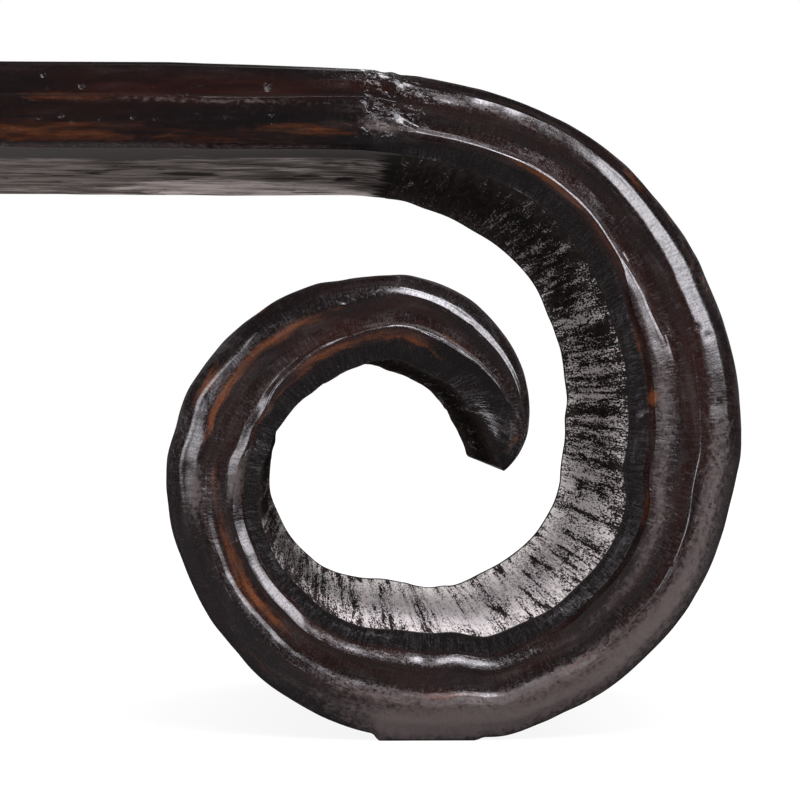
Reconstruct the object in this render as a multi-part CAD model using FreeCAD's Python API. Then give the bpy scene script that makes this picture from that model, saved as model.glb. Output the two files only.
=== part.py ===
import FreeCAD, Part

import math
import os

# Low altar table of lacquered wood. A thick top of two planks runs out at each end into a scroll
# that turns down, under and in on itself, and the two scrolls stand on the floor as its feet.
# Millimetres, +Z up, +X along the table, front face towards -Y, origin on the floor under the centre.

# Overall sizes
table_length = 1300.0
table_depth = 350.0
table_height = 340.0
slab_thickness = 43.0
front_plank_width = 218.0

# Outer outline of one scroll, from the end of the flat top to the tip. It is a chain of tangent arcs
# that turns steadily clockwise: the angle turned at the arc's end, and its radius as a share of the
# table's height.
arc_shares = (
    (6.5, 3.13),
    (30, 0.653),
    (60, 0.494),
    (90, 0.504),
    (135, 0.475),
    (180, 0.438),
    (225, 0.399),
    (270, 0.385),
    (315, 0.284),
    (360, 0.333),
    (405, 0.222),
    (450, 0.195),
    (500, 0.114),
)

# Thickness of the scroll where it has turned by an angle, as a share of the slab's thickness.
thickness_shares = (
    (0, 1.00),
    (6.5, 0.94),
    (40, 1.03),
    (60, 1.18),
    (100, 1.33),
    (125, 1.22),
    (180, 1.27),
    (220, 1.14),
    (250, 1.05),
    (310, 1.14),
    (355, 0.98),
    (385, 1.01),
    (430, 0.82),
    (460, 0.59),
    (490, 0.33),
    (500, 0.16),
)

# Angles at which the scroll is divided into its blocks, and where its sections stop leaning
slab_joint_angle = 6.5
upper_joint_angle = 90.0
floor_angle = 180.0
lower_joint_angle = 270.0
tip_angle = 500.0
square_angle = 30.0
section_step_angle = 16.0
section_degree = 2
slab_section_count = 4

# Moulding carved along the front and the rear: round-over, torus, cove, bead and bevel, cut in flat
# strokes. A point is its place from the outer edge to the inner edge, as a share of the thickness
# there, and its depth behind the face, as a share of the moulding's depth.
moulding_depth = 8.0
moulding_change_length = 200.0
slab_moulding_shares = (
    (0.00, 0.50),
    (0.05, 0.08),
    (0.20, 0.00),
    (0.38, 0.03),
    (0.41, 0.12),
    (0.46, 0.06),
    (0.60, 0.00),
    (0.94, 0.10),
    (1.00, 0.52),
)
scroll_moulding_shares = (
    (0.00, 0.95),
    (0.10, 0.42),
    (0.28, 0.00),
    (0.385, 0.24),
    (0.48, 0.36),
    (0.60, 0.34),
    (0.67, 0.07),
    (0.78, 0.52),
    (1.00, 0.78),
)

# Flat sole under each scroll, its reach towards the table's middle and away from it
sole_inner_reach = 31.0
sole_outer_reach = 22.0
sole_height = 12.0
sole_setback = 2.0

# Tenons on the ends of the planks, let into the scrolls
plank_tenon_length = 40.0
plank_tenon_width = 36.0
plank_tenon_thickness = 14.0
plank_tenon_drop = 26.0
front_plank_tenon_count = 3
rear_plank_tenon_count = 2

# Loose tenons between the blocks of a scroll
block_tenon_length = 52.0
block_tenon_width = 44.0
block_tenon_thickness = 18.0
block_tenon_count = 4

# Loose tenons between the two planks
edge_tenon_length = 50.0
edge_tenon_reach = 40.0
edge_tenon_thickness = 12.0
edge_tenon_pitch = 215.0
edge_tenon_count = 4

# Dovetailed battens let in flush under the top from the rear
batten_pitch = 215.0
batten_mouth_width = 40.0
batten_root_width = 48.0
batten_height = 20.0
batten_front_margin = 60.0

# Hardwood wedge in the sawn end of each plank tenon, which the bottom of its mortise drives home
wedge_length = 20.0
wedge_thick_end = 3.0
wedge_thin_end = 1.5

# Square bamboo pins that hold the battens to the front plank
pin_width = 8.0
pin_depth = 32.0
pin_front_margin = 110.0

# Fits: a tongue in its mortise or housing, the room at a mortise's end, and a pin in its hole
joint_clearance = 0.15
end_clearance = 0.5
pin_clearance = 0.1
cut_overrun = 5.0

half_depth = table_depth / 2
plank_joint_y = front_plank_width - half_depth
underside = table_height - slab_thickness


def vector(x, y, z):
    return FreeCAD.Vector(x, y, z)


def outline_share(angle):
    """Place on the outer outline, as shares of the height, from the point where the flat top ends."""
    x, z, start = 0.0, 0.0, 0.0
    for end, radius in arc_shares:
        stop = min(angle, end)
        a, b = math.radians(start), math.radians(stop)
        x += radius * (math.sin(b) - math.sin(a))
        z += radius * (math.cos(b) - math.cos(a))
        if angle <= end:
            break
        start = end
    return x, z


# The scroll stands on the floor under a top at the table's height, and reaches the table's end
scroll_scale = table_height / -outline_share(floor_angle)[1]
scroll_start = table_length / 2 - scroll_scale * outline_share(upper_joint_angle)[0]


def outline(angle):
    x, z = outline_share(angle)
    return scroll_start + scroll_scale * x, table_height + scroll_scale * z


def lean(angle):
    """Direction of a section: upright up to the slab joint, then leaning over until it is square."""
    if angle <= slab_joint_angle:
        return 0.0
    if angle >= square_angle:
        return math.radians(angle)
    along = (angle - slab_joint_angle) / (square_angle - slab_joint_angle)
    return math.radians(square_angle * along)


def thickness(angle):
    """Thickness at an angle, on straight lines between the stated shares."""
    for (a, low), (b, high) in zip(thickness_shares, thickness_shares[1:]):
        if angle <= b:
            return slab_thickness * (low + (high - low) * (angle - a) / (b - a))
    return slab_thickness * thickness_shares[-1][1]


def moulding(angle):
    """Moulding at an angle, which changes smoothly from the slab's pattern to the scroll's."""
    along = min(1.0, (outline(angle)[0] - scroll_start) / moulding_change_length)
    if angle > square_angle:
        along = 1.0
    blend = along * along * (3 - 2 * along)
    points = []
    for (u, d), (v, e) in zip(slab_moulding_shares, scroll_moulding_shares):
        points.append((u + (v - u) * blend, moulding_depth * (d + (e - d) * blend)))
    return points


def face_points(angle, side, x_sign):
    """Points of the moulding of one face, from the outer edge to the inner edge."""
    x, z = outline(angle)
    turn = lean(angle)
    points = []
    for share, depth in moulding(angle):
        inward = share * thickness(angle)
        across = x - inward * math.sin(turn)
        points.append(vector(x_sign * across, side * (half_depth - depth), z - inward * math.cos(turn)))
    return points


def straight_points(angle, y, x_sign):
    """Outer and inner point of a section on an upright plane at y."""
    x, z = outline(angle)
    return [vector(x_sign * x, y, z), vector(x_sign * x, y, z - thickness(angle))]


def section(angle, x_sign=1, front_y=None, rear_y=None):
    """Closed wire of one section. A side given a y is cut straight there, and any other is moulded."""
    if front_y is None:
        front = face_points(angle, -1, x_sign)
    else:
        front = straight_points(angle, front_y, x_sign)
    if rear_y is None:
        rear = face_points(angle, 1, x_sign)
    else:
        rear = straight_points(angle, rear_y, x_sign)
    return Part.makePolygon(front + rear[::-1] + front[:1])


def spread(start, end, count):
    """Evenly spaced values from start to end, both included."""
    return [start + (end - start) * i / count for i in range(count + 1)]


def scroll_block(start, end):
    """Length of the scroll between two angles, smooth through its sections."""
    count = math.ceil((end - start) / section_step_angle)
    sections = [section(angle) for angle in spread(start, end, count)]
    return Part.makeLoft(sections, True, False, False, section_degree)


def plank(front_y, rear_y):
    """One plank of the top, level between the scrolls and falling slightly towards each of them."""
    angles = spread(0.0, slab_joint_angle, slab_section_count)
    left = [section(angle, -1, front_y, rear_y) for angle in angles[::-1]]
    right = [section(angle, 1, front_y, rear_y) for angle in angles]
    return Part.makeLoft(left + right, True, True)


def box(x, y, z):
    """Box between two values on each axis."""
    corner = vector(min(x), min(y), min(z))
    return Part.makeBox(max(x) - min(x), max(y) - min(y), max(z) - min(z), corner)


def mirrored(shape):
    return shape.mirror(vector(0, 0, 0), vector(1, 0, 0))


def centres(low, high, count):
    """Centres of equal divisions between two values."""
    pitch = (high - low) / count
    return [low + pitch * (i + 0.5) for i in range(count)]


def plank_tenon_centres():
    front = centres(-half_depth, plank_joint_y, front_plank_tenon_count)
    rear = centres(plank_joint_y, half_depth, rear_plank_tenon_count)
    return front, rear


slab_joint_x, slab_joint_z = outline(slab_joint_angle)
tenon_z = table_height - plank_tenon_drop - plank_tenon_thickness / 2


def plank_tenon(y, clearance, extra_length, root):
    """Tongue on a plank's right end about y, or with a clearance and extra length its mortise."""
    half_width = plank_tenon_width / 2 + clearance
    low = tenon_z - clearance
    high = tenon_z + plank_tenon_thickness + clearance
    end = slab_joint_x + plank_tenon_length + extra_length
    return box((slab_joint_x - root, end), (y - half_width, y + half_width), (low, high))


def wedge(y):
    """Wedge along a plank tenon's middle, thick at the tenon's end and as deep as the tenon."""
    end = slab_joint_x + plank_tenon_length
    start = end - wedge_length
    thick, thin = wedge_thick_end / 2, wedge_thin_end / 2
    corners = [(start, y - thin), (end, y - thick), (end, y + thick), (start, y + thin)]
    points = [vector(x, across, tenon_z) for x, across in corners]
    face = Part.Face(Part.makePolygon(points + points[:1]))
    return face.extrude(vector(0, 0, plank_tenon_thickness))


def wedge_row():
    front, rear = plank_tenon_centres()
    return [wedge(y) for y in front + rear]


def plank_tenons(ys):
    """Tenons at both ends of a plank, with their roots inside it and their ends sawn for the wedges."""
    right = [plank_tenon(y, 0, 0, cut_overrun).cut(wedge(y)) for y in ys]
    return right + [mirrored(tenon) for tenon in right]


def plank_mortises():
    front, rear = plank_tenon_centres()
    return [plank_tenon(y, joint_clearance, end_clearance, cut_overrun) for y in front + rear]


def block_tenon(angle, y, clearance, extra_length):
    """Loose tenon upright across a level joint between two blocks, or its mortise."""
    x, z = outline(angle)
    middle = x - thickness(angle) * math.sin(lean(angle)) / 2
    half_thickness = block_tenon_thickness / 2 + clearance
    half_width = block_tenon_width / 2 + clearance
    half_length = block_tenon_length / 2 + extra_length
    return box(
        (middle - half_thickness, middle + half_thickness),
        (y - half_width, y + half_width),
        (z - half_length, z + half_length),
    )


def block_tenon_row(angle, clearance, extra_length):
    ys = centres(-half_depth, half_depth, block_tenon_count)
    return [block_tenon(angle, y, clearance, extra_length) for y in ys]


def edge_tenon_row(clearance, extra_length):
    """Loose tenons across the joint between the planks, or their mortises."""
    half_length = edge_tenon_length / 2 + clearance
    half_reach = edge_tenon_reach / 2 + extra_length
    half_thickness = edge_tenon_thickness / 2 + clearance
    middle_z = underside + (slab_thickness + batten_height) / 2 - edge_tenon_thickness / 2
    span = edge_tenon_pitch * (edge_tenon_count - 1)
    tenons = []
    for x in spread(-span / 2, span / 2, edge_tenon_count - 1):
        tenons.append(
            box(
                (x - half_length, x + half_length),
                (plank_joint_y - half_reach, plank_joint_y + half_reach),
                (middle_z - half_thickness, middle_z + half_thickness),
            )
        )
    return tenons


def batten_prism(x, clearance, front_margin):
    """Dovetail along Y about x: wide inside the top, narrow at the underside, open at the rear."""
    mouth = batten_mouth_width / 2 + clearance
    root = batten_root_width / 2 + clearance
    top = underside + batten_height + clearance
    slope = (root - mouth) / (top - underside)
    mouth_below = mouth - slope * cut_overrun
    bottom = underside - cut_overrun
    front = front_margin - half_depth
    corners = [(-mouth_below, bottom), (mouth_below, bottom), (root, top), (-root, top)]
    points = [vector(x + u, front, z) for u, z in corners]
    outline_wire = Part.makePolygon(points + points[:1])
    return Part.Face(outline_wire).extrude(vector(0, half_depth + cut_overrun - front, 0))


def batten_housing(x):
    return batten_prism(x, joint_clearance, batten_front_margin - end_clearance)


def batten(x, top):
    """Batten cut to the underside and to the moulded rear edge of the whole top."""
    return batten_prism(x, 0, batten_front_margin).common(top)


def batten_pin(x, clearance):
    """Square pin up through a batten into the front plank, or its hole."""
    y = pin_front_margin - half_depth
    half = pin_width / 2 + clearance
    top = underside + pin_depth + clearance
    return box((x - half, x + half), (y - half, y + half), (underside, top))


def sole():
    """Flat pad on which the scroll stands, level with the lowest point of its outline."""
    middle = outline(floor_angle)[0]
    reach = half_depth - sole_setback
    return box((middle - sole_inner_reach, middle + sole_outer_reach), (-reach, reach), (0, sole_height))


def cut_all(shape, tools):
    return shape.cut(Part.Compound(tools))


def fuse_all(shape, others):
    return shape.multiFuse(others).removeSplitter()


def whole(shape):
    """The one solid of a shape."""
    return shape.Solids[0]


def both_ends(name, shape):
    """Piece of the right-hand scroll, and its mirror image for the left-hand one."""
    return {"right_" + name: shape, "left_" + name: mirrored(shape)}


batten_places = {
    "batten_left": -batten_pitch,
    "batten_middle": 0.0,
    "batten_right": batten_pitch,
}


def top_pieces():
    """Planks, the loose tenons between them, battens and their pins."""
    front_body = plank(None, plank_joint_y)
    rear_body = plank(plank_joint_y, None)
    whole_top = front_body.fuse(rear_body)
    xs = list(batten_places.values())
    cuts = [batten_housing(x) for x in xs]
    cuts += [batten_pin(x, pin_clearance) for x in xs]
    cuts += edge_tenon_row(joint_clearance, end_clearance)
    front_ys, rear_ys = plank_tenon_centres()
    pieces = {
        "top_plank_front": whole(cut_all(fuse_all(front_body, plank_tenons(front_ys)), cuts)),
        "top_plank_rear": whole(cut_all(fuse_all(rear_body, plank_tenons(rear_ys)), cuts)),
        "top_edge_tenons": Part.Compound(edge_tenon_row(0, 0)),
        "batten_pins": Part.Compound([batten_pin(x, 0) for x in xs]),
    }
    for name, x in batten_places.items():
        pieces[name] = whole(cut_all(batten(x, whole_top), [batten_pin(x, pin_clearance)]))
    return pieces


def scroll_pieces():
    """Blocks of the scrolls at both ends, with the loose tenons and wedges that hold them."""
    shoulder = scroll_block(slab_joint_angle, upper_joint_angle)
    base = scroll_block(upper_joint_angle, lower_joint_angle).fuse(sole()).removeSplitter()
    curl = scroll_block(lower_joint_angle, tip_angle)
    upper_mortises = block_tenon_row(upper_joint_angle, joint_clearance, end_clearance)
    lower_mortises = block_tenon_row(lower_joint_angle, joint_clearance, end_clearance)
    shoulder_cuts = plank_mortises() + upper_mortises
    pieces = {}
    pieces.update(both_ends("shoulder_block", whole(cut_all(shoulder, shoulder_cuts))))
    pieces.update(both_ends("base_block", whole(cut_all(base, upper_mortises + lower_mortises))))
    pieces.update(both_ends("curl_block", whole(cut_all(curl, lower_mortises))))
    pieces.update(both_ends("upper_tenons", Part.Compound(block_tenon_row(upper_joint_angle, 0, 0))))
    pieces.update(both_ends("lower_tenons", Part.Compound(block_tenon_row(lower_joint_angle, 0, 0))))
    pieces.update(both_ends("tenon_wedges", Part.Compound(wedge_row())))
    return pieces


def main():
    os.makedirs("parts", exist_ok=True)
    for name, shape in {**top_pieces(), **scroll_pieces()}.items():
        shape.exportStep(os.path.join("parts", name + ".step"))


main()
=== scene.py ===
"""Low altar table with scrolled ends, dressed over its joinery model.

Metres, +Z up, +X along the table, front face towards -Y, origin on the floor under the centre.
Every carved piece is a section carried along a path. The section runs round the wood: down the
moulded front, across the sawn inner face, up the moulded rear and back over the outer face.
"""

import math

import bpy
import numpy as np
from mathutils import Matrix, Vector


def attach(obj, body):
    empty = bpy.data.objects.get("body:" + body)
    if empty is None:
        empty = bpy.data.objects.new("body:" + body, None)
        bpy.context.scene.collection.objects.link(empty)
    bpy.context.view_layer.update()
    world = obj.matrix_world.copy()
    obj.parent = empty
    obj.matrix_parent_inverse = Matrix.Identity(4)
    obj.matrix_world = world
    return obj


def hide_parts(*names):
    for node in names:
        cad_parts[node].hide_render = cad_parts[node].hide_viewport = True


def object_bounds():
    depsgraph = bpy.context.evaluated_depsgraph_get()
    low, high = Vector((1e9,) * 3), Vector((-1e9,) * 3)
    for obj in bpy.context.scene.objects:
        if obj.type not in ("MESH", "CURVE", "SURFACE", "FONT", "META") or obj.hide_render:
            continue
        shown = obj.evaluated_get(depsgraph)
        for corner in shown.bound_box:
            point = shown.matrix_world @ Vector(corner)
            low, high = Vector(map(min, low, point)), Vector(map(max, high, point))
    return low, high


bl_info = {
    "name": "Scrolled altar table",
    "version": (1, 0, 0),
    "blender": (4, 5, 0),
    "location": "3D View > Sidebar > Altar Table",
    "description": "Builds the lacquered boards, scrolls and studio of a low altar table",
    "category": "Add Mesh",
}

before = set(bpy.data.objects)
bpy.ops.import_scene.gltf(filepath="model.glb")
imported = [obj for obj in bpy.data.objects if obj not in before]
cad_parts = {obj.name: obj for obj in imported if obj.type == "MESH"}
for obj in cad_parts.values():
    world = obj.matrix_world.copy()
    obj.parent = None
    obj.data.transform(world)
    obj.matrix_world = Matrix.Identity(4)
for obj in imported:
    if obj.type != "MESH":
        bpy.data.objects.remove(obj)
cad_low, cad_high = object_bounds()

# Angles turned at the slab joint, where a section first is square to the outline, at the joint below
# the shoulder, at the floor, at the joint before the curl and at the tip, in degrees
SLAB_JOINT_ANGLE = 6.5
SQUARE_ANGLE = 30.0
UPPER_JOINT_ANGLE = 90.0
FLOOR_ANGLE = 180.0
LOWER_JOINT_ANGLE = 270.0
TIP_ANGLE = 500.0
BLOCKS = (
    ("shoulder_block", SLAB_JOINT_ANGLE, UPPER_JOINT_ANGLE),
    ("base_block", UPPER_JOINT_ANGLE, LOWER_JOINT_ANGLE),
    ("curl_block", LOWER_JOINT_ANGLE, TIP_ANGLE),
)

# Distance along the outline of the slab joint, where its moulding gives way to the scroll's, and the
# length before the outline's start where a plank's rows lie close
SLAB_JOINT = 0.115
MOULDING_CHANGE = (0.100, 0.135)
CLOSE_ROWS = 0.1

# Distances from both ends of a piece to the rows that carry the groove of the joint
JOINT_ROWS = (0.00009, 0.00024, 0.00048)

# Ends of the flat sole beside the scroll's lowest point, each from no effect to its full effect, and
# the height below which it works
SOLE_INNER = (-0.033, -0.029)
SOLE_OUTER = (0.024, 0.018)
SOLE_BELOW = 0.03

# Distances from the middle of the table between which the underside is set back, so that the battens
# show, and how far
BATTEN_REACH = (0.30, 0.27)
BATTEN_SETBACK = 0.0005

# Heights of the lumps and of the torn drops at a slab joint, depth of the slab's dents, and thickness
# in millimetres that the dents are laid out on
LUMP_HEIGHT = 0.0014
DROP_HEIGHT = 0.0009
DENT_DEPTH = 0.0008
DENTED_WIDTH = 43

# Widths of a face on which the carver's marks and the scars are laid out
CARVED_WIDTH = 0.05
SCAR_WIDTH = 0.045

# Ends of the seeded wear of the faces out of sight, by distance along the outline
OUT_OF_SIGHT = (-0.9, 1.14)

# Share of the thickness within which a point lies on the outer or the inner face
EDGE = 0.0001

# Share of the slab's thickness from which a moulding has its full depth
FULL_DEPTH_SHARE = 0.88

# Seeds of the hand's work at the right end and at the left end, and how far behind its own place the
# left end's finish is taken, so that the two ends differ
SEEDS = {1: 11, -1: 23}
LEFT_BOARD_SHIFT = 2.0

# Greatest angle between two faces that are shaded as one, in degrees
SMOOTH_ANGLE = 32

FLOOR_REACH = 12.0
SENSOR_WIDTH = 36.0

# Outline of a scroll: the angle turned at each arc's end, and the arc's radius as a share of the height
ARC_SHARES = (
    (6.5, 3.13), (30, 0.653), (60, 0.494), (90, 0.504), (135, 0.475), (180, 0.438), (225, 0.399),
    (270, 0.385), (315, 0.284), (360, 0.333), (405, 0.222), (450, 0.195), (500, 0.114),
)

# Thickness of the scroll by angle, as a share of the slab's
THICKNESS_SHARES = (
    (0, 1), (6.5, 0.94), (40, 1.03), (60, 1.18), (100, 1.32), (112, 1.17), (125, 1.14), (165, 1.17),
    (182, 1.25), (192, 1.24), (208, 1.12), (220, 1.08), (250, 1.01), (275, 1.1), (310, 1.14),
    (340, 1.08), (355, 0.99), (385, 1.01), (430, 0.82), (460, 0.59), (490, 0.33), (500, 0.16),
)

# How far the carver's outline strays outwards from the arcs, in millimetres by angle
OUTLINE_DRIFT = (
    (0, -1.1), (1.4, -1.5), (3, -1.2), (4.6, -0.3), (5.5, 0.3), (6.5, 0.1), (10, 0.3), (20, 1.8),
    (30, 2.6), (40, 1.8), (50, 0.2), (60, -0.2), (65, -1.2), (70, -0.7), (75, -0.2), (85, -0.4),
    (95, 0.3), (103, -0.5), (110, 0.3), (120, 1.4), (127, 1.4), (135, 0.8), (145, 1.8), (155, 0.9),
    (165, 1.9), (175, -1.0), (182, 0.4), (190, 0.3), (200, 0.5), (212, 0.8), (220, 1.3), (228, 0.4),
    (240, 0.8), (250, 0.4), (260, 1.2), (267, 1.1), (275, 1.2), (285, -0.4), (295, 0.9), (303, 0.4),
    (315, 0.8), (320, 0.7), (326, 0), (332, 0.3), (342, 0.1), (350, -1.3), (360, -0.4), (370, 0.6),
    (385, 0.2), (400, -0.4), (410, -0.6), (422, -0.3), (430, -0.3), (440, -0.9), (455, -1.2),
    (470, -0.5), (485, -0.3), (500, 0),
)

# How much thicker the scroll is at its rear face than at its front face, in millimetres by angle
REAR_SWELL = (
    (0, 0.8), (3, 0.7), (4.6, 0.3), (6.5, -0.3), (10, -0.6), (15, 1.3), (20, 1.9), (27, 3.5), (40, 2.9),
    (50, 1), (58, 1.8), (66, 1), (77, 3.0), (84, 2.3), (90, 3.9), (95, 3.3), (101, 2.4), (110, 6.1),
    (122, 6.0), (134, 4.7), (145, 6.3), (158, 5.2), (168, 4.5), (175, 1), (184, 4.3), (196, 5.3),
    (205, 5.3), (215, 3.4), (230, 1.6), (245, 2.1), (258, 1.1), (273, 1), (282, -0.2), (290, -1.5),
    (302, -0.5), (315, -0.1), (328, -1.1), (336, 0.5), (354, -1.7), (365, 0.4), (376, 1.6), (388, 0.4),
    (400, -0.5), (420, 0), (436, -0.8), (450, -1.9), (456, -1.3), (465, 0.8), (476, 2.1), (488, 0),
    (500, 0),
)

# Mouldings from the outer edge to the inner edge: place as a share of the thickness, and depth behind
# the face as a share of the moulding's depth
SLAB_MOULDING = (
    (0, 0.045, 0.2, 0.38, 0.405, 0.455, 0.48, 0.6, 0.75, 0.94, 1),
    (0.5, 0.08, 0.02, 0.03, 0.06, 0.055, 0.05, 0.03, 0.03, 0.1, 0.52),
)
SHOULDER_MOULDING = (
    (0, 0.14, 0.28, 0.33, 0.385, 0.48, 0.61, 0.655, 0.685, 0.78, 1),
    (0.95, 0.26, 0.02, 0.05, 0.24, 0.36, 0.32, 0.11, 0.06, 0.52, 0.78),
)
CALM_MOULDING = (
    (0, 0.14, 0.28, 0.33, 0.385, 0.48, 0.61, 0.655, 0.685, 0.78, 1),
    (0.95, 0.13, 0.03, 0.05, 0.24, 0.36, 0.32, 0.11, 0.06, 0.52, 0.78),
)
UPPER_MOULDING = (
    (0, 0.13, 0.29, 0.33, 0.385, 0.48, 0.6, 0.635, 0.78, 0.84, 1),
    (0.95, 0.37, 0.05, 0.06, 0.22, 0.34, 0.36, 0.23, 0.03, 0.48, 0.78),
)
SIDE_MOULDING = (
    (0, 0.13, 0.31, 0.355, 0.385, 0.48, 0.57, 0.6, 0.79, 0.84, 1),
    (0.95, 0.31, 0.05, 0.06, 0.22, 0.34, 0.33, 0.3, 0.03, 0.48, 0.78),
)
FOOT_MOULDING = (
    (0, 0.16, 0.33, 0.36, 0.41, 0.46, 0.62, 0.68, 0.8, 0.83, 1),
    (0.95, 0.27, 0.02, 0.05, 0.12, 0.23, 0.31, 0.09, 0.32, 0.6, 0.72),
)
CURL_MOULDING = (
    (0, 0.19, 0.28, 0.32, 0.38, 0.48, 0.61, 0.655, 0.69, 0.78, 1),
    (0.95, 0.2, 0.03, 0.05, 0.22, 0.34, 0.31, 0.11, 0.06, 0.5, 0.78),
)
LEFT_MOULDING = (
    (0, 0.14, 0.31, 0.36, 0.39, 0.48, 0.6, 0.71, 0.75, 0.81, 1),
    (0.95, 0.33, 0.02, 0.05, 0.22, 0.34, 0.32, 0.08, 0.06, 0.5, 0.78),
)

# Where each moulding of a scroll holds, by distance along the outline
SCROLL_MOULDINGS = (
    (0.210, CALM_MOULDING), (0.245, SHOULDER_MOULDING), (0.275, SHOULDER_MOULDING),
    (0.312, UPPER_MOULDING), (0.325, UPPER_MOULDING), (0.355, SIDE_MOULDING), (0.520, SIDE_MOULDING),
    (0.570, FOOT_MOULDING), (0.822, FOOT_MOULDING), (0.850, LEFT_MOULDING), (0.890, LEFT_MOULDING),
    (0.920, CURL_MOULDING), (0.940, CALM_MOULDING), (0.995, CALM_MOULDING), (1.030, CURL_MOULDING),
)

# How far each facet of a moulding rolls over at its edges: 0 is a straight line, 1 a full smooth step
FACET_ROLL = (0, 0.28, 0.3, 0, 0, 0, 0, 0.35, 0, 0)

# Where the slab's table has its fillet, and where a scroll's tables have the crest of the bead
FILLET_SHARE = 0.43
BEAD_SHARE = 0.67

# Where the slab's fillet runs, as a share of the thickness, by distance along the outline
FILLET_PATH = ((-0.02, 0.43), (0.04, 0.42), (0.09, 0.375), (0.13, 0.34))

# Where the crest of the bead runs, as a share of the thickness, by distance along the outline
BEAD_PATH = (
    (0.12, 0.7), (0.16, 0.7), (0.2, 0.675), (0.25, 0.685), (0.29, 0.69), (0.34, 0.66), (0.365, 0.66),
    (0.4, 0.655), (0.48, 0.67), (0.56, 0.66), (0.62, 0.68), (0.7, 0.7), (0.8, 0.7), (0.86, 0.72),
    (0.89, 0.75), (0.95, 0.67), (1.0, 0.62), (1.05, 0.57), (1.085, 0.51), (1.11, 0.34), (1.13, 0.14),
    (1.16, 0.06),
)

# Rubbed-through patches of the front of the right-hand end: distance along the outline, share of the
# thickness, half length, half height as a share, and strength
RUBBED_PATCHES = (
    (-0.05, 0.41, 0.028, 0.05, 1), (-0.06, 0.8, 0.045, 0.13, 0.9), (0.01, 0.88, 0.055, 0.08, 0.35),
    (0.068, 0.76, 0.028, 0.08, 0.9), (0.205, 0.71, 0.03, 0.04, 1), (0.25, 0.73, 0.05, 0.025, 0.6),
    (0.25, 0.06, 0.016, 0.04, 0.6), (0.305, 0.06, 0.02, 0.04, 0.6), (0.33, 0.84, 0.014, 0.04, 0.8),
    (0.371, 0.8, 0.006, 0.05, 1.4), (0.445, 0.82, 0.015, 0.04, 0.5), (0.545, 0.42, 0.02, 0.03, 0.7),
    (0.625, 0.42, 0.024, 0.035, 1), (0.735, 0.1, 0.016, 0.05, 0.5), (0.757, 0.55, 0.03, 0.09, 0.7),
    (0.79, 0.57, 0.025, 0.08, 0.6), (0.833, 0.5, 0.016, 0.12, 0.6), (0.895, 0.14, 0.02, 0.06, 0.8),
    (0.88, 0.34, 0.025, 0.05, 0.9), (0.915, 0.34, 0.03, 0.06, 0.9), (0.952, 0.33, 0.026, 0.06, 1),
    (0.9, 0.8, 0.045, 0.03, 0.6), (0.96, 0.74, 0.03, 0.05, 0.9), (1.01, 0.7, 0.04, 0.05, 0.6),
    (1.06, 0.5, 0.015, 0.03, 0.6), (1.135, 0.35, 0.012, 0.25, 0.25), (1.035, 0.74, 0.035, 0.07, 0.4),
    (1.135, 0.5, 0.02, 0.6, 0.15),
)

# Dusty, scuffed patches there, in the same terms. Their grey is partly painted sheen, standing in
# for the dim reflection of the lamps and the floor.
DUST_AND_SHEEN_PATCHES = (
    (0.56, 0.18, 0.11, 0.17, 1), (0.48, 0.22, 0.06, 0.12, 0.6), (0.64, 0.15, 0.05, 0.18, 0.9),
    (0.4, 0.21, 0.045, 0.12, 0.6), (0.15, 0.22, 0.03, 0.09, 0.5), (0.14, 0.69, 0.028, 0.05, 0.9),
    (0.19, 0.24, 0.035, 0.08, 0.4), (0.365, 0.7, 0.04, 0.09, 0.6), (0.43, 0.68, 0.055, 0.08, 0.7),
    (0.835, 0.3, 0.018, 0.1, 1), (0.842, 0.75, 0.02, 0.1, 1), (0.5, 0.66, 0.05, 0.06, 0.5),
    (0.57, 0.4, 0.05, 0.08, 0.9), (0.67, 0.4, 0.05, 0.08, 0.7), (0.03, 0.44, 0.07, 0.04, 0.6),
    (0, 0.98, 0.2, 0.04, 0.8), (0.108, 0.68, 0.01, 0.12, 0.9),
)

# Dark hollows of the underside near the right-hand slab joint: distance along the outline, place across
# the table, half length, half width, and strength
HOLLOWS = (
    (-0.045, 0.005, 0.006, 0.01, 0.9), (0.008, 0, 0.018, 0.016, 1.2), (0, 0.045, 0.012, 0.008, 0.8),
    (0.045, -0.02, 0.02, 0.004, 0.7), (0.072, 0.012, 0.009, 0.012, 1),
    (0.094, 0.036, 0.008, 0.02, 1.1), (0.076, 0.145, 0.016, 0.006, 1),
    (0.105, -0.012, 0.012, 0.006, 0.8), (-0.015, 0.12, 0.03, 0.004, 0.7),
)

# Dents in the lacquer near the right-hand slab joint: distance along the outline, share of the
# thickness, length, and height, in millimetres for the last two
SLAB_DENTS = (
    (-0.0581, 0.163, 1.3, 1.6), (-0.0391, 0.29, 1.8, 1.9), (0.0134, 0.37, 1.0, 1.2),
    (0.0529, 0.26, 1.9, 2.8), (0.0545, 0.225, 1.0, 1.6), (0.0959, 0.13, 0.9, 0.9),
    (-0.06, 0.66, 1.2, 1.1), (-0.049, 0.64, 1.5, 1.1), (-0.0436, 0.7, 1.3, 1.3),
    (-0.03, 0.675, 1.0, 1.2), (-0.0136, 0.65, 1.5, 1.4), (-0.0026, 0.66, 1.0, 1),
    (0.0324, 0.62, 1.0, 1), (0.0549, 0.58, 1.5, 1), (0.0559, 0.68, 1.0, 0.9),
)

# Dents and drops of lacquer on the scroll there: distance along, share, radius and height
SCARS = (
    (0.335, 0.28, 0.0012, -0.0005), (0.341, 0.2, 0.0011, -0.0005), (0.383, 0.86, 0.0024, 0.0009),
    (0.8, 0.66, 0.0016, 0.0007), (0.983, 0.25, 0.0013, -0.0008),
)

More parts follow.
